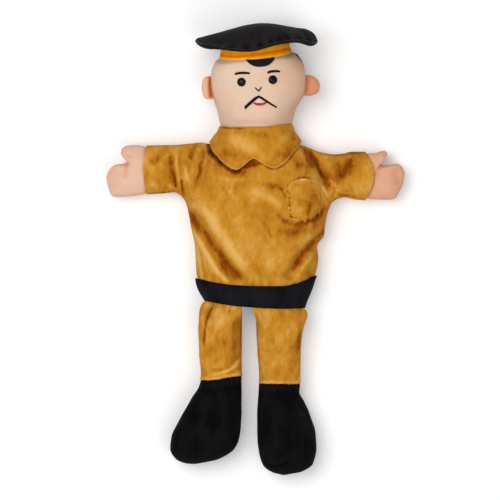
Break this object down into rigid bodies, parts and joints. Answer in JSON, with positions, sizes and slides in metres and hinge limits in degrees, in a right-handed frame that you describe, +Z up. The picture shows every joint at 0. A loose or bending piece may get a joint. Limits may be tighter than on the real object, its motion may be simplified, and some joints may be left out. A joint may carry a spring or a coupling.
{
  "type": "puppet",
  "caption": "Cloth glove puppet of a man in uniform: stuffed head and soft cap, hollow belted tunic for the hand, mitten hands and hanging stuffed legs with boots.",
  "frame": {"origin": "on the table, under the middle of the tunic's back, where the puppet rests on its back", "axes": "+X to the viewer's right, the puppet's own left side; +Y from the boots to the cap; +Z up out of the face"},
  "size_m": [0.2782, 0.4195, 0.0887],
  "materials": {
    "head": "plain cotton",
    "finger_tube": "plain cotton",
    "back_hair": "black cloth",
    "left_ear": "plain cotton",
    "right_ear": "plain cotton",
    "left_eye": "polished bead",
    "right_eye": "polished bead",
    "left_eyebrow": "embroidery thread",
    "right_eyebrow": "embroidery thread",
    "nose": "embroidery thread",
    "moustache": "embroidery thread",
    "lower_lip": "embroidery thread",
    "upper_lip": "felt",
    "forelock": "felt",
    "cap_band": "satin",
    "cap_crown_top": "black cloth",
    "cap_crown_under": "black cloth",
    "tunic_front": "velveteen",
    "tunic_back": "velveteen",
    "belt": "black cloth",
    "collar": "velveteen",
    "chest_pocket": "velveteen",
    "left_hand": "plain cotton",
    "right_hand": "plain cotton",
    "left_leg": "velveteen",
    "right_leg": "velveteen",
    "left_boot": "black cloth",
    "right_boot": "black cloth"
  },
  "bodies": {
    "root": {"head": "head", "finger_tube": "finger_tube", "back_hair": "back_hair", "left_ear": "left_ear", "right_ear": "right_ear", "left_eye": "left_eye", "right_eye": "right_eye", "left_eyebrow": "left_eyebrow", "right_eyebrow": "right_eyebrow", "nose": "nose", "moustache": "moustache", "lower_lip": "lower_lip", "upper_lip": "upper_lip", "forelock": "forelock", "cap_band": "cap_band", "cap_crown_top": "cap_crown_top", "cap_crown_under": "cap_crown_under", "tunic_front": "tunic_front", "tunic_back": "tunic_back", "belt": "belt", "collar": "collar", "chest_pocket": "chest_pocket", "left_hand": "left_hand", "right_hand": "right_hand", "left_leg": "left_leg", "right_leg": "right_leg", "left_boot": "left_boot", "right_boot": "right_boot"}
  },
  "joints": []
}
